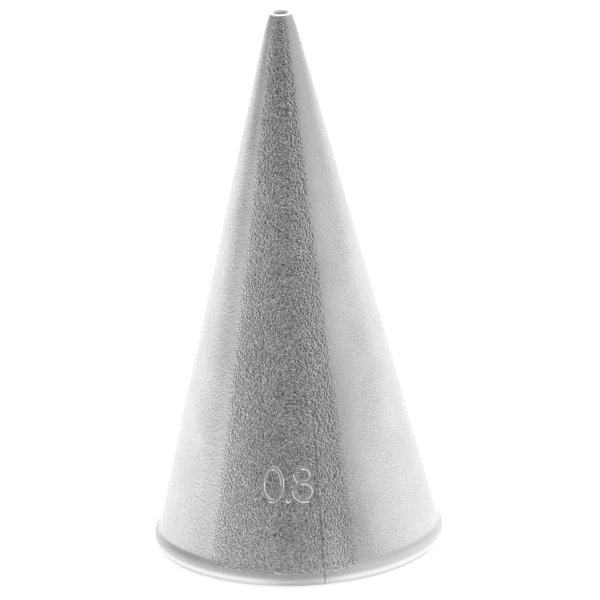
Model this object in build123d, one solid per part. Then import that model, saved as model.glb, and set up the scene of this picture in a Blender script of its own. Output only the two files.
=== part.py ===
from build123d import *
import os
from math import atan2, cos, degrees, hypot, radians, sin

# A plain round piping nozzle: one blank of thin steel sheet rolled into a tall cone, flared at the
# foot, closed down to a small mouth at the top, and shut along one straight joint by a run of solder.
# Millimetres and degrees. The axis is Z, the foot stands on Z = 0, and the front faces -Y.
# The origin is the middle of the foot.

# The sheet
sheet_thickness = 0.35
seam_gap = 0.10                 # between the two edges of the rolled sheet
seam_angle = 9.6                # round from the front, towards +X

# The rim: an edge tucked in at the foot, a short upright band, and the flare that leads into the cone
rim_diameter = 18.0
tuck_height = 0.28
tuck_width = 0.22               # how far the foot's edge is tucked in under the band
band_height = 0.42
flare_height = 0.38
flare_width = 0.30              # how far the band stands out from the cone's foot
band_bend_inside = 0.10         # inside of the bends above and below the band
neck_bend = 0.80                # outside of the bend between flare and cone
foot_edge_round = 0.06

# The cone and its mouth
body_height = 34.15
mouth_diameter = 1.33           # outside, at the very top
mouth_turn_in = 0.08            # how far the cone is closed in below its own straight line
mouth_turn_length = 1.20        # the stretch that is closed in
mouth_bend = 6.0                # the easy bend where that stretch begins
mouth_edge_round = 0.10
orifice_diameter = 0.80
orifice_land = 0.60             # the straight stretch of the opening
throat_length = 0.50            # the inside taper that leads into it

# The run of solder along the inside of the joint
bead_width = 0.90
bead_height = 0.14
bead_foot_gap = 0.60            # from the corner between flare and cone up to the bead's end
bead_mouth_gap = 7.0            # from the bead's other end up to the mouth

# The stamped size mark, which gives the opening in millimetres: a nought, a point and an eight
mark_height = 6.17              # of the mark's middle over the foot
mark_seam_gap = 0.10            # clear metal between the mark and the joint to the right of it
figure_height = 2.26
figure_width = 1.42
point_diameter = 0.30
figure_gap = 0.10
stroke_width = 0.22
stroke_depth = 0.07
eight_top_share = 0.46          # of the figure's height that the upper loop of the eight takes
eight_top_width_share = 0.86    # the upper loop's width, beside the lower one's

# One overrun for every cut, past the faces that it goes through
overrun = 1.0

# What follows from the sizes above
rim_radius = rim_diameter / 2
mouth_radius = mouth_diameter / 2
orifice_radius = orifice_diameter / 2
band_top = tuck_height + band_height
neck_height = band_top + flare_height
neck_radius = rim_radius - flare_width
aim_radius = mouth_radius + mouth_turn_in
cone_run = body_height - neck_height
cone_share = (neck_radius - aim_radius) / cone_run
cone_angle = degrees(atan2(neck_radius - aim_radius, cone_run))
figure_step = (figure_width + point_diameter) / 2 + figure_gap
mark_width = figure_step + figure_step + figure_width


def cone_radius(height):
    """The radius of the cone's straight outer line at a height."""
    return aim_radius + (body_height - height) * cone_share


def inner_radius(height):
    """The radius of the cone's straight inner line at a height."""
    return cone_radius(height) - sheet_thickness / cos(radians(cone_angle))


def set_in(outline, depth):
    """The corners between the ends of an outline, moved inwards so that each side lies a depth further in."""
    moved = []
    for before, corner, after in zip(outline, outline[1:], outline[2:]):
        coming = Vector(corner[0] - before[0], corner[1] - before[1]).normalized()
        going = Vector(after[0] - corner[0], after[1] - corner[1]).normalized()
        bisector = Vector(-coming.Y - going.Y, coming.X + going.X)
        reach = depth / (1 + coming.dot(going))
        moved.append((corner[0] + bisector.X * reach, corner[1] + bisector.Y * reach))
    return moved


def turned(corners, rounds):
    """A solid of revolution round Z, from corners (radius, height) that start and end on the axis."""
    outline = FilletPolyline(*corners, radius=[0, *rounds, 0], close=True)
    return revolve(Plane.XZ * make_face(outline), axis=Axis.Z)


# Corners of the sheet's outer line, from the foot to the mouth
foot_corner = (rim_radius - tuck_width, 0)
band_foot_corner = (rim_radius, tuck_height)
band_top_corner = (rim_radius, band_top)
neck_corner = (neck_radius, neck_height)
knee_corner = (cone_radius(body_height - mouth_turn_length), body_height - mouth_turn_length)
mouth_corner = (mouth_radius, body_height)


def outer_body():
    """The whole nozzle as if it were solid."""
    corners = [
        (0, 0),
        foot_corner,
        band_foot_corner,
        band_top_corner,
        neck_corner,
        knee_corner,
        mouth_corner,
        (0, body_height),
    ]
    band_bend = band_bend_inside + sheet_thickness
    rounds = [foot_edge_round, band_bend, band_bend, neck_bend, mouth_bend, mouth_edge_round]
    return turned(corners, rounds)


def hollow():
    """The space inside the sheet, with the throat and the opening, run past both ends."""
    outer_line = [foot_corner, band_foot_corner, band_top_corner, neck_corner, knee_corner]
    band_foot, band_head, neck = set_in(outer_line, sheet_thickness)
    tuck_run = (band_foot[1] + overrun) * tuck_width / tuck_height
    throat_top = body_height - orifice_land
    throat_foot = throat_top - throat_length
    corners = [
        (0, -overrun),
        (band_foot[0] - tuck_run, -overrun),
        band_foot,
        band_head,
        neck,
        (inner_radius(throat_foot), throat_foot),
        (orifice_radius, throat_top),
        (orifice_radius, body_height + overrun),
        (0, body_height + overrun),
    ]
    rounds = [0, band_bend_inside, band_bend_inside, neck_bend + sheet_thickness, 0, 0, 0]
    return turned(corners, rounds)


def seam_slab():
    """A thin upright slab from the axis outwards through the joint."""
    slab = Box(
        rim_radius + overrun,
        seam_gap,
        body_height + overrun + overrun,
        align=(Align.MIN, Align.CENTER, Align.MIN),
    )
    return Rot(Z=seam_angle - 90) * Pos(Z=-overrun) * slab


def on_cone(angle, height, radius):
    """A plane on the cone: X runs round it, Y runs up its slope and Z stands out of it."""
    across = Vector(cos(radians(angle)), sin(radians(angle)), 0)
    outwards = Vector(sin(radians(angle)), -cos(radians(angle)), 0)
    slope = Vector(0, 0, sin(radians(cone_angle)))
    place = outwards * radius + Vector(0, 0, height)
    return Plane(origin=place, x_dir=across, z_dir=outwards * cos(radians(cone_angle)) + slope)


def solder_rod():
    """A long round-ended rod, sunk in the wall along the joint so that a low bead of it shows inside."""
    rod_radius = (bead_width ** 2 / 4 + bead_height ** 2) / (bead_height + bead_height)
    foot = neck_height + bead_foot_gap
    top = body_height - bead_mouth_gap
    length = hypot(top - foot, inner_radius(foot) - inner_radius(top))
    middle = (foot + top) / 2
    seat = on_cone(seam_angle, middle, inner_radius(middle))
    sunk = rod_radius - bead_height
    rod = Cylinder(rod_radius, length, rotation=(90, 0, 0))
    rod += Pos(Y=length / 2) * Sphere(rod_radius)
    rod += Pos(Y=-length / 2) * Sphere(rod_radius)
    return seat * Pos(Z=sunk) * rod


def ring(width, height):
    """An upright oval stroke of the mark, outer size given."""
    outside = Ellipse(width / 2, height / 2)
    return outside - Ellipse(width / 2 - stroke_width, height / 2 - stroke_width)


def size_mark():
    """The flat figures of the mark, centred on its middle."""
    lower = figure_height * (1 - eight_top_share) + stroke_width / 2
    upper = figure_height * eight_top_share + stroke_width / 2
    nought = Pos(X=-figure_step) * ring(figure_width, figure_height)
    point = Pos(Y=(point_diameter - figure_height) / 2) * Circle(point_diameter / 2)
    lower_loop = Pos(X=figure_step, Y=(lower - figure_height) / 2) * ring(figure_width, lower)
    top_width = figure_width * eight_top_width_share
    upper_loop = Pos(X=figure_step, Y=(figure_height - upper) / 2) * ring(top_width, upper)
    return nought + point + lower_loop + upper_loop


def mark_groove(body):
    """The stamped strokes, as deep as the stroke depth into the cone's outer face."""
    place_radius = cone_radius(mark_height)
    from_seam = (mark_width + seam_gap) / 2 + mark_seam_gap
    mark_angle = seam_angle - degrees(from_seam / place_radius)
    plane = on_cone(mark_angle, mark_height, place_radius)
    stamp = plane * extrude(size_mark(), amount=overrun, both=True)
    core_foot = neck_height
    core_top = body_height - mouth_turn_length
    set_back = stroke_depth / cos(radians(cone_angle))
    core = Pos(Z=core_foot) * Cone(
        cone_radius(core_foot) - set_back,
        cone_radius(core_top) - set_back,
        core_top - core_foot,
        align=(Align.CENTER, Align.CENTER, Align.MIN),
    )
    return (stamp & body) - core


def build():
    """Both pieces, by name."""
    body = outer_body()
    space = hollow()
    wall = body - space
    slab = seam_slab()
    shell = wall - slab - mark_groove(body)
    filler = (wall & slab) + (solder_rod() & body & (space + slab))
    return {"cone_shell": shell, "seam_filler": filler}


os.makedirs("parts", exist_ok=True)
for name, piece in build().items():
    export_step(piece, f"parts/{name}.step")
    print(name, round(piece.volume, 4), "mm3", len(piece.solids()), "solid")
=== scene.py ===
from math import atan2, cos, hypot, pi, radians, sin, tan

import bmesh
import bpy
import numpy as np
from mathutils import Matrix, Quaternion, Vector


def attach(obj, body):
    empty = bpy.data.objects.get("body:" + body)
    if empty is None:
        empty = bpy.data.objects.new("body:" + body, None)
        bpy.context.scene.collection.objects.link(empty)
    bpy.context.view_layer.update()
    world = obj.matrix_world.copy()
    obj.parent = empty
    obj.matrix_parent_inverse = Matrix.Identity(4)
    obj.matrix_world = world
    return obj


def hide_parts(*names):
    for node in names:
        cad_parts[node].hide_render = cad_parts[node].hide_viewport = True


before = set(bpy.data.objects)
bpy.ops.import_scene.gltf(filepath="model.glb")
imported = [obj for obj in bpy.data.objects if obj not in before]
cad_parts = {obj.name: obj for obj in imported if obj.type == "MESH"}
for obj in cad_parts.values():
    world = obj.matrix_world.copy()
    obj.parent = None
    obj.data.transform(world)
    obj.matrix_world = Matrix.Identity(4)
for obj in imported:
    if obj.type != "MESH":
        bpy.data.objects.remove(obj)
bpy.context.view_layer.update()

# A plain round piping nozzle, seen from the front and a little above. In metres, with the axis along Z and the
# front facing -Y. The sheet is drawn ring by ring from its own measures, stamped, and slit along the joint. The
# solder that closes the joint is a piece of its own.

bpy.ops.object.select_all(action="DESELECT")
MM = 0.001

# Measures of the sheet and the solder, in millimetres, as the solids have them
SHEET = 0.35
RIM_RADIUS = 9.0
TUCK_HEIGHT, TUCK_WIDTH = 0.28, 0.22
BAND_TOP = 0.70
NECK_RADIUS, NECK_HEIGHT = 8.70, 1.08
BODY_HEIGHT = 34.15
MOUTH_RADIUS, MOUTH_TURN = 0.665, 0.08
KNEE_HEIGHT = BODY_HEIGHT - 1.2
ORIFICE_RADIUS, LAND_FOOT = 0.40, BODY_HEIGHT - 0.6
THROAT_FOOT = LAND_FOOT - 0.5
AIM_RADIUS = MOUTH_RADIUS + MOUTH_TURN
CONE_SHARE = (NECK_RADIUS - AIM_RADIUS) / (BODY_HEIGHT - NECK_HEIGHT)
CONE_TILT = atan2(CONE_SHARE, 1)

SEAM_ANGLE = radians(9.6)        # round from the front, towards +X
SEAM_HALF_GAP = 0.05
BEAD_WIDTH, BEAD_HEIGHT = 0.90, 0.14
BEAD_FOOT, BEAD_TOP = NECK_HEIGHT + 0.6, BODY_HEIGHT - 7

# Marks of making and wear, which only the scene has. Each pair in brackets is two heights between which a mark
# comes or goes.
BURR_HEIGHT, BURR_FOOT, BURR_TOP, BURR_EASES = 0.028, 1.5, 32, (7, 13)
SOLDER_RECESS, RECESS_COMES, RECESS_GOES = 0.025, (1.2, 2.0), (8, 13)
RIPPLE_HEIGHT, RIPPLE_SCALE = 0.07, 1.1
LIP_ANGLE, LIP_DROP = radians(-38), 0.05
WAVE_HEIGHT, WAVE_SCALE, WAVE_COMES, WAVE_GOES = 0.05, 6, (1.6, 5), (27, 32)

# The mesh
COLUMNS = 288                    # faces round the cone
WALL_CUTS, BEAD_CUTS = 41, 90    # cuts across the long faces of the wall and of the bead
ROW_CUTS, MARK_CUTS = 3, 7       # cuts that make a row finer, and then the faces under the mark
LONG_RISE, ROW_RISE = 5, 0.3     # how much an edge rises at least, if it runs up the wall or up one row of it
JOINT_REACH, ROWS_REACH = 0.6, 0.2    # how far aside of the joint lines are cut, and rows made finer
JOINT_LINES = (-0.28, -0.16, -SEAM_HALF_GAP, SEAM_HALF_GAP, 0.16)
ON_PLANE = 1e-7                  # how near a point counts as on a cutting plane, in metres


def cone_radius(height):
    """The radius of the cone's straight outer line, in millimetres."""
    return AIM_RADIUS + (BODY_HEIGHT - height) * CONE_SHARE


def inner_radius(height):
    """The radius of the cone's straight inner line, in millimetres."""
    return cone_radius(height) - SHEET / cos(CONE_TILT)


def set_in(outline, depth):
    """The corners between the ends of an outline, moved inwards so that each side lies a depth further in."""
    moved = []
    for before, corner, after in zip(outline, outline[1:], outline[2:]):
        coming = (Vector(corner) - Vector(before)).normalized()
        going = (Vector(after) - Vector(corner)).normalized()
        reach = depth / (1 + coming.dot(going))
        moved.append((corner[0] - (coming.y + going.y) * reach, corner[1] + (coming.x + going.x) * reach))
    return moved


def rounded(corners, rounds, steps):
    """An outline's points, each corner between its ends rounded to a radius in a few steps."""
    points = [Vector(corners[0])]
    for before, corner, after, radius, count in zip(corners, corners[1:], corners[2:], rounds, steps):
        corner = Vector(corner)
        to_before = (Vector(before) - corner).normalized()
        to_after = (Vector(after) - corner).normalized()
        half = to_before.angle(to_after) / 2
        reach = radius / tan(half)
        middle = corner + (to_before + to_after).normalized() * radius / sin(half)
        start, end = corner + to_before * reach - middle, corner + to_after * reach - middle
        points += [middle + start.slerp(end, k / count).normalized() * radius for k in range(count + 1)]
    return points + [Vector(corners[-1])]


# Working on a mesh by hand

def edit(piece):
    """Opens a piece's mesh for editing, with nothing selected in it."""
    bpy.ops.object.select_all(action="DESELECT")
    bpy.context.view_layer.objects.active = piece
    piece.select_set(True)
    bpy.ops.object.mode_set(mode="EDIT")
    bpy.ops.mesh.select_mode(type="FACE")
    bpy.ops.mesh.select_all(action="DESELECT")


def finish_editing():
    bpy.ops.object.mode_set(mode="OBJECT")


def pick(piece, kind, test):
    """Selects the faces, edges or points that pass a test, and nothing else, in the mesh open for editing."""
    bpy.ops.mesh.select_mode(type=kind)
    bpy.ops.mesh.select_all(action="DESELECT")
    mesh = bmesh.from_edit_mesh(piece.data)
    for part in {"FACE": mesh.faces, "EDGE": mesh.edges, "VERT": mesh.verts}[kind]:
        if test(part):
            part.select_set(True)
    bmesh.update_edit_mesh(piece.data)


def middle_of(part):
    """The middle of a face or an edge, in millimetres."""
    return sum((corner.co for corner in part.verts), Vector()) / len(part.verts) / MM


def rises(edge, height):
    """Whether an edge rises by more than a height in millimetres."""
    return abs(edge.verts[0].co.z - edge.verts[1].co.z) > height * MM


def ring_out(ring, following):
    """Extrudes the selected ring to the profile's next one, both given as radius and height in millimetres."""
    rise = (following[1] - ring[1]) * MM
    bpy.ops.mesh.extrude_edges_move(TRANSFORM_OT_translate={"value": (0, 0, rise)})
    share = following[0] / ring[0]
    bpy.ops.transform.resize(value=(share, share, 1), center_override=(0, 0, 0))


def along_seam(place):
    """How far a place lies out from the axis towards the joint, and to the right of the joint."""
    outwards = place.x * sin(SEAM_ANGLE) - place.y * cos(SEAM_ANGLE)
    across = place.x * cos(SEAM_ANGLE) + place.y * sin(SEAM_ANGLE)
    return outwards, across


def near_joint(place, reach):
    """Whether a place lies on the joint's side of the axis and within a reach of the joint."""
    outwards, across = along_seam(place)
    return outwards > 0 and abs(across) < reach


def cloud_texture(name, scale):
    """A soft cloud texture with one finer layer, its scale in millimetres."""
    clouds = bpy.data.textures.new(name, "CLOUDS")
    clouds.noise_scale = scale * MM
    clouds.noise_depth = 1
    return clouds


def apply_all(piece):
    """Applies every modifier of a piece."""
    bpy.context.view_layer.objects.active = piece
    for modifier in list(piece.modifiers):
        bpy.ops.object.modifier_apply(modifier=modifier.name)


# The sheet's outline, as corners of radius and height

under_foot = (8.5, 0)            # a place in the middle of the foot's cut edge
on_lip = (0.5, BODY_HEIGHT)      # and one in the middle of the mouth's
foot = (RIM_RADIUS - TUCK_WIDTH, 0)
band_foot = (RIM_RADIUS, TUCK_HEIGHT)
band_top = (RIM_RADIUS, BAND_TOP)
neck = (NECK_RADIUS, NECK_HEIGHT)
knee = (cone_radius(KNEE_HEIGHT), KNEE_HEIGHT)
mouth = (MOUTH_RADIUS, BODY_HEIGHT)
in_band_foot, in_band_top, in_neck = set_in([foot, band_foot, band_top, neck, knee], SHEET)
in_foot = (in_band_foot[0] - in_band_foot[1] * TUCK_WIDTH / TUCK_HEIGHT, 0)

outside_steps = [3, 7, 7, 6, 4, 6]
outside = rounded(
    [under_foot, foot, band_foot, band_top, neck, knee, mouth, on_lip],
    [0.06, 0.45, 0.45, 0.80, 6.0, 0.09],
    outside_steps,
)[1:-1]
# How many of the outside's points come before the straight of the cone: those of its first four corners
cone_start = sum(steps + 1 for steps in outside_steps[:4])
inside = rounded(
    [on_lip, (ORIFICE_RADIUS, BODY_HEIGHT), (ORIFICE_RADIUS, LAND_FOOT),
     (inner_radius(THROAT_FOOT), THROAT_FOOT), in_neck, in_band_top, in_band_foot, in_foot, under_foot],
    [0.165, 0.3, 0.5, 1.15, 0.10, 0.10, 0.03],
    [6, 3, 3, 6, 3, 3, 2],
)[1:-1]


def draw_sheet():
    """The whole wall as one turned shell, not slit yet."""
    foot_ring, top_ring = outside[cone_start - 1], outside[cone_start]
    low, high = foot_ring[1], top_ring[1]
    bpy.ops.mesh.primitive_cone_add(
        vertices=COLUMNS, radius1=foot_ring[0] * MM, radius2=top_ring[0] * MM, depth=(high - low) * MM,
        end_fill_type="NOTHING", location=(0, 0, (high + low) / 2 * MM),
        rotation=(0, 0, SEAM_ANGLE + pi / COLUMNS),
    )
    piece = bpy.context.object
    bpy.ops.object.transform_apply(location=True, rotation=True, scale=True)
    edit(piece)
    # From the foot of the cone down round the rim, under the foot, up the inside and out over the mouth
    path = [foot_ring] + outside[:cone_start - 1][::-1] + inside[::-1] + outside[cone_start + 1:][::-1]
    pick(piece, "EDGE", lambda edge: all(abs(corner.co.z / MM - low) < 1e-3 for corner in edge.verts))
    for ring, following in zip(path, path[1:]):
        ring_out(ring, following)
    pick(piece, "EDGE", lambda edge: len(edge.link_faces) == 1)
    bpy.ops.mesh.bridge_edge_loops()
    # Rows up the outside and the inside
    pick(piece, "EDGE", lambda edge: rises(edge, LONG_RISE))
    bpy.ops.mesh.subdivide(number_cuts=WALL_CUTS)
    bpy.ops.mesh.select_all(action="SELECT")
    bpy.ops.mesh.normals_make_consistent(inside=False)
    finish_editing()
    return piece


def smooth_step(value, low, high):
    """Nothing below low, one above high, and smooth between."""
    share = min(1, max(0, (value - low) / (high - low)))
    return share * share * (3 - 2 * share)


def uneven_lip(piece):
    """Presses the mouth's outer edge down a little on the left of the front, where it was trimmed by hand."""
    edit(piece)
    mesh = bmesh.from_edit_mesh(piece.data)
    for point in mesh.verts:
        place = point.co / MM
        radius = hypot(place.x, place.y)
        if place.z > LAND_FOOT and radius > on_lip[0]:
            turn = atan2(place.x, -place.y) - LIP_ANGLE
            share = smooth_step(cos(turn), 0.1, 1) * smooth_step(radius, on_lip[0], MOUTH_RADIUS - 0.03)
            point.co.z -= LIP_DROP * share * smooth_step(place.z, LAND_FOOT, BODY_HEIGHT - 0.1) * MM
    bmesh.update_edit_mesh(piece.data)
    finish_editing()


def line_joint(piece):
    """Adds lines and finer rows beside the joint, and raises the low burr along its left side."""
    edit(piece)
    sideways = Vector((cos(SEAM_ANGLE), sin(SEAM_ANGLE), 0))

    def beside(part, reach):
        place = middle_of(part)
        return near_joint(place, reach) and on_outside(place)

    for offset in JOINT_LINES:
        pick(piece, "FACE", lambda face: beside(face, JOINT_REACH))
        bpy.ops.mesh.bisect(plane_co=sideways * offset * MM, plane_no=sideways, threshold=ON_PLANE)
    pick(piece, "EDGE", lambda edge: beside(edge, ROWS_REACH) and rises(edge, ROW_RISE))
    bpy.ops.mesh.subdivide(number_cuts=ROW_CUTS)
    mesh = bmesh.from_edit_mesh(piece.data)
    for point in mesh.verts:
        place = point.co / MM
        outwards, across = along_seam(place)
        if outwards > 0 and on_outside(place) and BURR_FOOT < place.z < BURR_TOP:
            # Highest beside the joint, gone to its right, uneven all along, and lower further up
            ridge = smooth_step(across, -0.26, -0.06) * (1 - smooth_step(across, -0.04, 0.04))
            uneven = 0.5 + 0.3 * sin(place.z * 7.3) + 0.2 * sin(place.z * 17.1 + 1)
            height = BURR_HEIGHT * ridge * uneven * (1 - 0.8 * smooth_step(place.z, *BURR_EASES))
            point.co += Vector((sin(SEAM_ANGLE), -cos(SEAM_ANGLE), 0)) * height * MM
    bmesh.update_edit_mesh(piece.data)
    finish_editing()


def make_wavy(piece):
    """Gives the rolled sheet the slight unevenness of its wall, away from the rim and the mouth."""
    group = piece.vertex_groups.new(name="wall")
    for point in piece.data.vertices:
        height = point.co.z / MM
        share = smooth_step(height, *WAVE_COMES) * (1 - smooth_step(height, *WAVE_GOES))
        group.add([point.index], share, "REPLACE")
    press = piece.modifiers.new("unevenness", "DISPLACE")
    press.texture = cloud_texture("wall unevenness", WAVE_SCALE)
    press.texture_coords = "LOCAL"
    press.vertex_group = group.name
    press.strength = WAVE_HEIGHT * MM
    apply_all(piece)
    piece.vertex_groups.remove(piece.vertex_groups["wall"])


# The size mark: a nought, a point and an eight, for the opening in millimetres

MARK_HEIGHT = 6.17               # the middle of the figures over the foot
FIGURE_HEIGHT, FIGURE_WIDTH = 2.26, 1.42
FIGURE_STEP = 0.96               # from the point to the middle of a figure
STROKE_HALF, POINT_RADIUS = 0.11, 0.15
SOFT_EDGE = 0.02                 # how much wider the stamp's soft edge makes them
STAMP_DEPTH, POINT_DEPTH = 0.06, 0.10
TOP_SHARE, TOP_WIDTH_SHARE = 0.46, 0.86
POINT_SHEEN = 0.5                # how pressed the point counts at most, so that no floor of it turns matt
MARK_TO_JOINT, CLEAR_OF_JOINT = 0.15, 0.06
# How much further than the figures, aside and above, the rows are made finer, the faces, and the stamp looks
ROWS_MARGIN, FACES_MARGIN, STAMP_MARGIN = (0.4, 0.6), (0.16, 0.2), (0.15, 0.15)
PLACE_RADIUS = cone_radius(MARK_HEIGHT)
MARK_ANGLE = SEAM_ANGLE - (FIGURE_STEP + FIGURE_WIDTH / 2 + MARK_TO_JOINT) / PLACE_RADIUS


def oval(middle_x, middle_y, width, height, count=400):
    """Points along the middle of an upright oval stroke whose outer size is given."""
    turn = np.linspace(0, 2 * pi, count, endpoint=False)
    return np.stack([
        middle_x + (width / 2 - STROKE_HALF) * np.cos(turn),
        middle_y + (height / 2 - STROKE_HALF) * np.sin(turn),
    ], axis=1)


LOWER = FIGURE_HEIGHT * (1 - TOP_SHARE) + STROKE_HALF
UPPER = FIGURE_HEIGHT * TOP_SHARE + STROKE_HALF
MARK_STROKES = np.concatenate([
    oval(-FIGURE_STEP, 0, FIGURE_WIDTH, FIGURE_HEIGHT),
    oval(FIGURE_STEP, (LOWER - FIGURE_HEIGHT) / 2, FIGURE_WIDTH, LOWER),
    oval(FIGURE_STEP, (FIGURE_HEIGHT - UPPER) / 2, FIGURE_WIDTH * TOP_WIDTH_SHARE, UPPER),
])
POINT_PLACE = np.array([0, POINT_RADIUS - FIGURE_HEIGHT / 2])


def mark_place(place):
    """Where a place on the cone lies in the mark: along its line and up from its middle, in millimetres."""
    angle = atan2(place.x, -place.y)
    return (angle - MARK_ANGLE) * PLACE_RADIUS, (place.z - MARK_HEIGHT) / cos(CONE_TILT)


def stamp_share(place):
    """How deep a stroke goes at a place, from nothing to one, and how deep the point goes there."""
    here = np.array(mark_place(place))
    from_stroke = np.sqrt(((MARK_STROKES - here) ** 2).sum(1).min()) / (STROKE_HALF + SOFT_EDGE)
    from_point = np.hypot(*(POINT_PLACE - here)) / (POINT_RADIUS + SOFT_EDGE)
    return 1 - min(1, from_stroke) ** 2, 1 - min(1, from_point) ** 2


def on_outside(place):
    """Whether a place lies on the cone's straight outer face, or within 0.05 mm of it."""
    return abs(hypot(place.x, place.y) - cone_radius(place.z)) < 0.05


def in_mark(place, aside, above):
    """Whether a place is in the patch that holds the mark, with some clear metal aside and above."""
    across, up = mark_place(place)
    half_width = FIGURE_STEP + FIGURE_WIDTH / 2
    return (
        place.y < 0 and on_outside(place)
        and -half_width - aside < across and along_seam(place)[1] < -CLEAR_OF_JOINT
        and abs(up) < FIGURE_HEIGHT / 2 + above
    )


def stamp_mark(piece):
    """Refines the patch under the mark, lays it on the cone again, and presses the strokes and the point in."""
    edit(piece)
    pick(piece, "EDGE", lambda edge: in_mark(middle_of(edge), *ROWS_MARGIN) and rises(edge, ROW_RISE))
    bpy.ops.mesh.subdivide(number_cuts=ROW_CUTS)
    pick(piece, "FACE", lambda face: in_mark(middle_of(face), *FACES_MARGIN))
    bpy.ops.mesh.subdivide(number_cuts=MARK_CUTS)
    mesh = bmesh.from_edit_mesh(piece.data)
    low, high = outside[cone_start - 1][1] + 0.01, outside[cone_start][1] - 0.01
    for point in mesh.verts:
        place = point.co / MM
        if low < place.z < high and on_outside(place):
            share = cone_radius(place.z) / hypot(place.x, place.y)
            point.co.x *= share
            point.co.y *= share
    bmesh.update_edit_mesh(piece.data)
    finish_editing()
    depths = {}
    for point in piece.data.vertices:
        place = point.co / MM
        stroke, dot = stamp_share(place) if in_mark(place, *STAMP_MARGIN) else (0, 0)
        if stroke + dot > 0:
            depths[point.index] = stroke, dot
    group = piece.vertex_groups.new(name="stamped")
    for index, (stroke, dot) in depths.items():
        group.add([index], max(stroke * STAMP_DEPTH / POINT_DEPTH, dot), "REPLACE")
    # What the finish reads to leave off the grain, and to make the strokes' floor matt
    pressed = piece.data.attributes.new("pressed", "FLOAT", "POINT")
    for index, (stroke, dot) in depths.items():
        pressed.data[index].value = max(stroke, min(dot, POINT_SHEEN))
    press = piece.modifiers.new("pressed strokes", "DISPLACE")
    press.vertex_group = group.name
    press.direction = "NORMAL"
    press.mid_level = 0
    press.strength = -POINT_DEPTH * MM
    apply_all(piece)
    piece.vertex_groups.remove(piece.vertex_groups["stamped"])


def cut_joint(piece, keep_strip):
    """Cuts along both sides of the joint, keeps the sheet or the strip between, and closes the cut sides."""
    edit(piece)
    normal = Vector((cos(SEAM_ANGLE), sin(SEAM_ANGLE), 0))
    for side in (-1, 1):
        pick(piece, "FACE", lambda face: near_joint(middle_of(face), JOINT_REACH))
        bpy.ops.mesh.bisect(plane_co=normal * side * SEAM_HALF_GAP * MM, plane_no=normal, threshold=ON_PLANE)
    pick(piece, "FACE", lambda face: near_joint(middle_of(face), SEAM_HALF_GAP) != keep_strip)
    bpy.ops.mesh.delete(type="FACE")
    for side in (-1, 1):
        pick(piece, "EDGE", lambda edge: (
            len(edge.link_faces) == 1 and along_seam(middle_of(edge))[1] * side > 0
        ))
        bpy.ops.mesh.edge_face_add()
    bpy.ops.mesh.select_all(action="SELECT")
    bpy.ops.mesh.normals_make_consistent(inside=False)
    finish_editing()


def copy_of(piece, name):
    """A copy of a piece with its own mesh."""
    bpy.ops.object.select_all(action="DESELECT")
    piece.select_set(True)
    bpy.context.view_layer.objects.active = piece
    bpy.ops.object.duplicate(linked=False)
    made = bpy.context.object
    made.name = name
    return made


def combine(piece, other, how):
    """Joins a piece with another, or keeps what they share, and takes the other away."""
    change = piece.modifiers.new("combined", "BOOLEAN")
    change.operation = how
    change.solver = "EXACT"
    change.object = other
    apply_all(piece)
    bpy.data.objects.remove(other, do_unlink=True)


def draw_bead():
    """The low bead of solder inside the joint: a long round-ended rod of which the wall leaves a sliver."""
    rod_radius = (BEAD_WIDTH ** 2 / 4 + BEAD_HEIGHT ** 2) / (2 * BEAD_HEIGHT)
    middle_height = (BEAD_FOOT + BEAD_TOP) / 2
    half_length = (BEAD_TOP - BEAD_FOOT) / 2 / cos(CONE_TILT)
    bpy.ops.mesh.primitive_uv_sphere_add(segments=48, ring_count=25, radius=rod_radius * MM, location=(0, 0, 0))
    bead = bpy.context.object
    edit(bead)
    for side in (-1, 1):
        pick(bead, "VERT", lambda point: point.co.z * side > 0)
        bpy.ops.transform.translate(value=(0, 0, side * half_length * MM))
    pick(bead, "EDGE", lambda edge: rises(edge, LONG_RISE))
    bpy.ops.mesh.subdivide(number_cuts=BEAD_CUTS)
    finish_editing()
    flow = bead.modifiers.new("ripple", "DISPLACE")
    flow.texture = cloud_texture("solder ripple", RIPPLE_SCALE)
    flow.texture_coords = "LOCAL"
    flow.strength = RIPPLE_HEIGHT * MM
    apply_all(bead)
    out = inner_radius(middle_height) + (rod_radius - BEAD_HEIGHT) * cos(CONE_TILT)
    lift = (rod_radius - BEAD_HEIGHT) * sin(CONE_TILT)
    bead.rotation_euler = (-CONE_TILT, 0, SEAM_ANGLE)
    bead.location = Vector((sin(SEAM_ANGLE) * out, -cos(SEAM_ANGLE) * out, middle_height + lift)) * MM
    bpy.ops.object.transform_apply(location=True, rotation=True, scale=True)
    # What lies inside the wall, sunk a hair into the strip that it joins
    low, high, sunk = 1.3, 28.0, 0.02
    bpy.ops.mesh.primitive_cone_add(
        vertices=COLUMNS, radius1=(inner_radius(low) + sunk) * MM, radius2=(inner_radius(high) + sunk) * MM,
        depth=(high - low) * MM, location=(0, 0, (low + high) / 2 * MM),
        rotation=(0, 0, SEAM_ANGLE + pi / COLUMNS),
    )
    combine(bead, bpy.context.object, "INTERSECT")
    return bead


def recess(piece):
    """Lets the solder's outer face lie back a little near the foot."""
    for point in piece.data.vertices:
        place = point.co / MM
        if on_outside(place):
            share = smooth_step(place.z, *RECESS_COMES) * (1 - smooth_step(place.z, *RECESS_GOES))
            depth = SOLDER_RECESS * share
            point.co += Vector((-sin(SEAM_ANGLE), cos(SEAM_ANGLE), 0)) * depth * MM


sheet = draw_sheet()
sheet.name = "rolled_sheet"
uneven_lip(sheet)
line_joint(sheet)
solder = copy_of(sheet, "solder_seam")
stamp_mark(sheet)
for part in (sheet, solder):
    make_wavy(part)
cut_joint(sheet, keep_strip=False)
cut_joint(solder, keep_strip=True)
recess(solder)
combine(solder, draw_bead(), "UNION")


# Finishes

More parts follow.
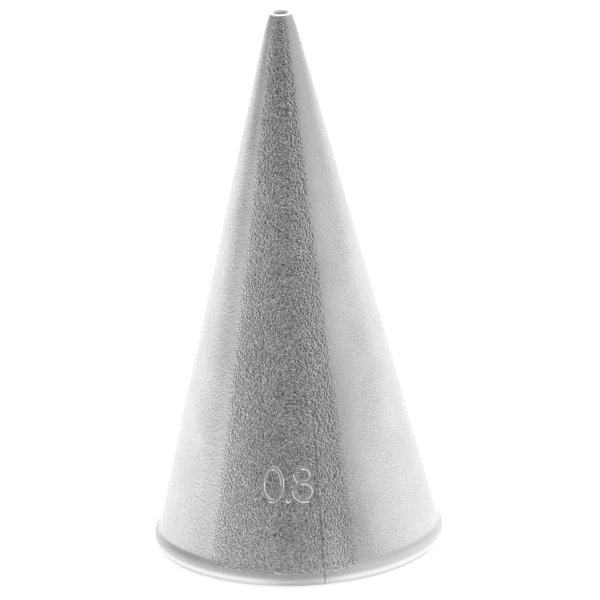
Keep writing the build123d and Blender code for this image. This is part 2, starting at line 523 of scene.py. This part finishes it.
class Wire:
    """One output of a node, with arithmetic that adds the nodes for it."""

    def __init__(self, finish, socket):
        self.finish, self.socket = finish, socket

    def maths(self, operation, *values):
        return self.finish.node("ShaderNodeMath", {"operation": operation}, *values)

    def __add__(self, other):
        return self.maths("ADD", self, other)

    __radd__ = __add__

    def __sub__(self, other):
        return self.maths("SUBTRACT", self, other)

    def __rsub__(self, other):
        return self.maths("SUBTRACT", other, self)

    def __mul__(self, other):
        return self.maths("MULTIPLY", self, other)

    def __neg__(self):
        return self.maths("MULTIPLY", self, -1)

    def clipped(self):
        return self.finish.node("ShaderNodeClamp", {}, self)

    def step(self, low, high):
        """Nothing below low, one above high, and smooth between."""
        settings = {"interpolation_type": "SMOOTHSTEP"}
        return self.finish.node("ShaderNodeMapRange", settings, self, low, high, 0, 1)


class Finish:
    """The node tree of a material or of the world."""

    def __init__(self, owner):
        owner.use_nodes = True
        self.tree = owner.node_tree
        self.tree.nodes.clear()

    def node(self, kind, settings, *values, out=0, **named):
        """Adds a node with its settings and its sockets' values or links, and gives one of its outputs."""
        made = self.tree.nodes.new(kind)
        for key, value in settings.items():
            if key == "stops":
                stops = made.color_ramp.elements
                while len(stops) < len(value):
                    stops.new(0.5)
                for stop, (place, colour) in zip(stops, value):
                    stop.position, stop.color = place, (*colour, 1)
            else:
                setattr(made, key, value)
        sockets = [(made.inputs[k], value) for k, value in enumerate(values)]
        sockets += [(made.inputs[key.replace("_", " ")], value) for key, value in named.items()]
        for socket, value in sockets:
            if isinstance(value, Wire):
                self.tree.links.new(value.socket, socket)
            else:
                socket.default_value = value
        return Wire(self, made.outputs[out]) if made.outputs else made

    def parts(self, place):
        """The three numbers of a place or a direction."""
        outputs = self.node("ShaderNodeSeparateXYZ", {}, place).socket.node.outputs
        return [Wire(self, output) for output in outputs]

    def surface(self, colour, metal, rough, bump):
        """Ends a material in one surface."""
        shader = self.node(
            "ShaderNodeBsdfPrincipled", {}, Base_Color=colour, Metallic=metal, Roughness=rough, Normal=bump,
        )
        self.node("ShaderNodeOutputMaterial", {}, shader)

    def mix(self, share, one, other):
        """A blend of two colours, which have their own sockets among those of the node's other data types."""
        made = self.tree.nodes.new("ShaderNodeMix")
        made.data_type = "RGBA"
        for socket, value in ((made.inputs[0], share), (made.inputs[6], one), (made.inputs[7], other)):
            if isinstance(value, Wire):
                self.tree.links.new(value.socket, socket)
            else:
                socket.default_value = (*value, 1) if isinstance(value, tuple) else value
        return Wire(self, made.outputs[2])


def grey(level):
    return (level, level, level)


def noise(finish, place, scale, detail, rough):
    """A noise between nothing and one, with its scale in cells to the metre."""
    return finish.node("ShaderNodeTexNoise", {}, Vector=place, Scale=scale, Detail=detail, Roughness=rough)


# Heights in metres over which the finish changes, each from the lower to the upper one
PAINTED_FOOT_SHADE_FADE = (0.00015, 0.0004)    # the painted contact shadow along the foot's edge ends
BEND_FADE = (0.00045, 0.0006)    # the rim's worn upper bend begins
RIM_FADE = (0.0007, 0.0010)      # the smooth rim ends
SOLDER_FADE = (0.002, 0.007)     # the darker foot of the solder ends
TIP_FADE = (0.020, 0.033)        # the darker tip begins
OPENING_FADE = ((LAND_FOOT - 0.1) * MM, (LAND_FOOT + 0.1) * MM)
LIP_FADE = ((BODY_HEIGHT - 0.14) * MM, (BODY_HEIGHT - 0.07) * MM)

FINE_GRAIN, COARSE_GRAIN = 8000, 2600     # cells to the metre
GRAIN_FRONT = (-0.139, -0.9903, 0)        # the side of the cone where the grain is strongest
GRAIN_HEIGHT, LINES_HEIGHT = 0.00014, 0.000022
STROKE_FLOOR = (0.58, 0.84)               # between these shares of its depth a stroke's floor turns matt
SMOOTH_ANGLE = radians(32)


def frosting(finish, place, frosted):
    """The tumbled grain where a piece is frosted: its bumps, and how much rougher its specks are."""
    fine = noise(finish, place, FINE_GRAIN, 1.0, 0.5)
    coarse = noise(finish, place, COARSE_GRAIN, 2.0, 0.5)
    flat = finish.node("ShaderNodeVectorMath", {"operation": "MULTIPLY"}, place, (1, 1, 0))
    outwards = finish.node("ShaderNodeVectorMath", {"operation": "NORMALIZE"}, flat)
    facing = finish.node(
        "ShaderNodeVectorMath", {"operation": "DOT_PRODUCT"}, outwards, GRAIN_FRONT, out="Value",
    )
    coarser = frosted * (0.09 + facing.step(0.83, 0.935) * 0.91 + (-facing).step(0.2, 0.8) * 0.3)
    height = (fine - 0.5 + (coarse - 0.5) * 0.3) * coarser
    bump = finish.node("ShaderNodeBump", {}, Strength=1.0, Distance=GRAIN_HEIGHT, Height=height)
    speck = (fine + (coarse - 0.5) * 0.3).step(0.38, 0.66) * (frosted * 0.4 + coarser * 0.6)
    return bump, speck * 0.42


def tumbled_steel():
    """Bright steel sheet, tumbled to a fine frosted grain, smooth on the rim, the lip and in the mark, darker
    towards the tip; near white on the lip and in the mark as a painted sheen, with a painted contact shadow
    along the foot's edge.
    """
    material = bpy.data.materials.new("tumbled_steel")
    finish = Finish(material)
    place = finish.node("ShaderNodeTexCoord", {}, out="Object")
    blotch = noise(finish, place, 330, 3.0, 0.55)
    stamped = finish.node("ShaderNodeAttribute", {"attribute_name": "pressed"}, out="Fac")
    up = finish.parts(place)[2]
    rim = 1 - up.step(*RIM_FADE)
    worn_bend = rim * up.step(*BEND_FADE)
    lip = up.step(*LIP_FADE)
    frosted = 1 - (stamped * 4 + rim + lip).clipped()
    stroke_floor = stamped.step(*STROKE_FLOOR)
    bump, speck = frosting(finish, place, frosted)
    rough = 0.12 + speck + blotch * 0.05 + rim * 0.30 + worn_bend * 0.30 + stroke_floor * 0.15
    bare = finish.mix(blotch.step(0.3, 0.7), (0.645, 0.638, 0.660), (0.715, 0.710, 0.725))
    # The frosted steel grows darker towards the tip
    darker_to_tip = finish.mix(up.step(*TIP_FADE) * 0.6, bare, (0.51, 0.505, 0.52))
    # The rim's colour darkens along the foot's edge: a painted contact shadow
    band = finish.mix(up.step(*PAINTED_FOOT_SHADE_FADE), grey(0.72), grey(0.90))
    # Near white on the lip and in the strokes: a painted sheen beyond the steel's own colour, where the metal
    # is also smoother
    polished_with_painted_sheen = finish.mix(rim, grey(0.99), band)
    colour = finish.mix(frosted, polished_with_painted_sheen, darker_to_tip)
    metal = 1 - stroke_floor * 0.85
    finish.surface(colour, metal, rough, bump)
    return material


def drawn_steel():
    """The sheet's inside: duller, with the faint lines of the roller that ran round it, and near white in the
    opening as painted light.
    """
    material = bpy.data.materials.new("drawn_steel")
    finish = Finish(material)
    place = finish.node("ShaderNodeTexCoord", {}, out="Object")
    stretched = finish.node("ShaderNodeVectorMath", {"operation": "MULTIPLY"}, place, (0.12, 0.12, 1))
    lines = noise(finish, stretched, 5200, 3.0, 0.6)
    grain = noise(finish, place, 6500, 1.0, 0.5)
    patch = noise(finish, place, 420, 2.0, 0.5)
    opening = finish.parts(place)[2].step(*OPENING_FADE)
    bump = finish.node("ShaderNodeBump", {}, Strength=1.0, Distance=LINES_HEIGHT, Height=lines + grain * 0.7)
    rough = 0.22 + lines * 0.12 + patch * 0.10 + opening * 0.60
    duller = finish.mix(patch.step(0.3, 0.7), (0.58, 0.585, 0.59), (0.66, 0.66, 0.665))
    # Near white in the opening: painted light, so that the bore looks lit from above
    colour = finish.mix(opening, duller, grey(0.98))
    finish.surface(colour, 1.0, rough, bump)
    return material


def soldered_steel():
    """The solder: tumbled with the sheet, smooth on the rim and the lip, near white on the lip as a painted
    sheen, and darker near the foot.
    """
    material = bpy.data.materials.new("seam_solder")
    finish = Finish(material)
    place = finish.node("ShaderNodeTexCoord", {}, out="Object")
    patch = noise(finish, place, 1100, 2.0, 0.5)
    up = finish.parts(place)[2]
    rim = 1 - up.step(*RIM_FADE)
    lip = up.step(*LIP_FADE)
    frosted = 1 - (rim + lip).clipped()
    bump, speck = frosting(finish, place, frosted)
    rough = 0.10 + speck + patch * 0.06 + rim * 0.34
    grained = finish.mix(patch.step(0.35, 0.65), (0.62, 0.62, 0.625), (0.72, 0.72, 0.72))
    darkened = finish.mix(up.step(*SOLDER_FADE), (0.57, 0.57, 0.575), grained)
    # Near white on the lip: a painted sheen, as on the sheet
    colour = finish.mix(lip, darkened, grey(0.95))
    finish.surface(colour, 1.0, rough, bump)
    return material


def dress(piece, material):
    """Gives a piece its one material, and shades it smooth where it isn't sharply bent."""
    piece.data.materials.clear()
    piece.data.materials.append(material)
    bpy.ops.object.select_all(action="DESELECT")
    piece.select_set(True)
    bpy.context.view_layer.objects.active = piece
    bpy.ops.object.shade_smooth_by_angle(angle=SMOOTH_ANGLE)


def looks_inwards(face):
    """Whether a face looks towards the axis."""
    place = middle_of(face)
    place.z = 0
    return face.normal.dot(place) < -0.3 * place.length


dress(sheet, tumbled_steel())
sheet.data.materials.append(drawn_steel())
edit(sheet)
pick(sheet, "FACE", looks_inwards)
sheet.active_material_index = 1
bpy.ops.object.material_slot_assign()
finish_editing()
dress(solder, soldered_steel())
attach(sheet, "root")
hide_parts("cone_shell")
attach(solder, "root")
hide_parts("seam_filler")


# The studio: a bright tent, darker on the camera's side, over a white table

# The tent's brightness by the direction round the object, in degrees from the front towards +X
LOW_TENT = [
    (-180, 0.92), (-124, 0.74), (-104, 0.50), (-92, 0.52), (-77, 0.80), (-65, 0.56), (-52, 0.25), (-39, 0.07),
    (24, 0.08), (38, 0.70), (60, 0.75), (75, 0.76), (100, 0.72), (124, 0.84), (180, 0.92),
]
HIGH_TENT = [
    (-180, 1.25), (-150, 0.90), (-127, 0.58), (-92, 0.46), (-77, 0.68), (-65, 0.46), (-52, 0.19), (-39, 0.05),
    (24, 0.06), (38, 0.58), (60, 0.70), (90, 0.82), (127, 0.90), (150, 0.98), (180, 1.25),
]
CEILING = 1.2
# Where the tent turns from low to high and then to the ceiling, as the upward share of a direction
TENT_FADE, CEILING_FADE = (-0.05, 0.25), (0.82, 0.94)

TABLE_RADIUS = 0.45
TABLE_GLOW, TABLE_GLOW_SEEN = 1.8, 0.1    # its own light, and how much less of it the camera sees
PAPER_SHARE = 0.6
# The paper that the cone's front mirrors is dimmed for everything but the camera, a painted shade: in a wedge
# that widens towards the camera, and less in a patch in front of the rim, a painted contact shadow. Each pair
# is where an edge fades, in metres.
DIMMED = 0.2
WEDGE_BEGINS, WEDGE_SIDE, WEDGE_SLOPE = (-0.0138, -0.0093), (-0.004, 0.012), 1.4
PATCH_BEGINS, PATCH_ENDS, PATCH_SIDE = (-0.0090, -0.0085), (-0.0130, -0.0115), (0.0005, 0.0040)
PATCH_SHARE = 0.42


def studio():
    world = bpy.data.worlds.new("studio")
    bpy.context.scene.world = world
    finish = Finish(world)
    across, depth, up = finish.parts(finish.node("ShaderNodeTexCoord", {}, out="Generated"))
    turn = finish.node("ShaderNodeMath", {"operation": "ARCTAN2"}, across, -depth)
    share = turn * (0.5 / pi) + 0.5

    def round_about(levels):
        stops = [(angle / 360 + 0.5, grey(level)) for angle, level in levels]
        return finish.node("ShaderNodeValToRGB", {"stops": stops}, share)

    tent = finish.mix(up.step(*TENT_FADE), round_about(LOW_TENT), round_about(HIGH_TENT))
    shade = finish.mix(up.step(*CEILING_FADE), tent, grey(CEILING))
    seen = finish.node("ShaderNodeLightPath", {}, out="Is Camera Ray")
    colour = finish.mix(seen, shade, grey(1.0))
    background = finish.node("ShaderNodeBackground", {}, colour, 1.0)
    finish.node("ShaderNodeOutputWorld", {}, background)


def white_table():
    bpy.ops.mesh.primitive_circle_add(vertices=96, radius=TABLE_RADIUS, fill_type="NGON", location=(0, 0, 0))
    table = bpy.context.object
    table.name = "white_table"
    material = bpy.data.materials.new("white_table")
    finish = Finish(material)
    aside, depth, _ = finish.parts(finish.node("ShaderNodeTexCoord", {}, out="Object"))
    seen = finish.node("ShaderNodeLightPath", {}, out="Is Camera Ray")
    away = finish.node("ShaderNodeMath", {"operation": "ABSOLUTE"}, aside)
    wedge = (1 - depth.step(*WEDGE_BEGINS)) * (1 - (away + depth * WEDGE_SLOPE).step(*WEDGE_SIDE))
    patch = (1 - depth.step(*PATCH_BEGINS)) * depth.step(*PATCH_ENDS) * (1 - away.step(*PATCH_SIDE))
    # Painted shade on the paper, in reflections only: the wedge for the dark camera side, the patch a painted
    # contact shadow
    dark = (wedge + patch * PATCH_SHARE).clipped() * (1 - seen)
    tone = finish.mix(dark, grey(1.0), grey(DIMMED))
    paper = finish.node("ShaderNodeBsdfDiffuse", {}, tone)
    glow = finish.node("ShaderNodeEmission", {}, tone, TABLE_GLOW - seen * TABLE_GLOW_SEEN)
    lit = finish.node("ShaderNodeMixShader", {}, PAPER_SHARE, glow, paper)
    # From below the table isn't there
    under = finish.node("ShaderNodeNewGeometry", {}, out="Backfacing")
    clear = finish.node("ShaderNodeBsdfTransparent", {}, (1, 1, 1, 1))
    shown = finish.node("ShaderNodeMixShader", {}, under, lit, clear)
    finish.node("ShaderNodeOutputMaterial", {}, shown)
    table.data.materials.append(material)


# The camera, as fitted to the picture's outline
CAMERA_DISTANCE, CAMERA_ELEVATION, CAMERA_ROLL = 0.400, radians(20.8), radians(-2.0066)
CAMERA_TARGET = Vector((0.000571, 0, 0.0155705))
FOCAL_PIXELS, PICTURE_PIXELS = 6373.19, 600
SENSOR_WIDTH = 36                # millimetres


def place_camera():
    eye = Vector((0, -CAMERA_DISTANCE * cos(CAMERA_ELEVATION), CAMERA_DISTANCE * sin(CAMERA_ELEVATION)))
    camera = bpy.data.cameras.new("camera")
    camera.sensor_width = SENSOR_WIDTH
    camera.lens = FOCAL_PIXELS * SENSOR_WIDTH / PICTURE_PIXELS
    camera.clip_start, camera.clip_end = 0.01, 20
    holder = bpy.data.objects.new("camera", camera)
    bpy.context.scene.collection.objects.link(holder)
    holder.location = eye
    aim = (CAMERA_TARGET - eye).to_track_quat("-Z", "Y")
    holder.rotation_mode = "QUATERNION"
    holder.rotation_quaternion = aim @ Quaternion((0, 0, 1), CAMERA_ROLL)
    bpy.context.scene.camera = holder


studio()
white_table()
place_camera()
bpy.context.scene.view_settings.view_transform = "Standard"
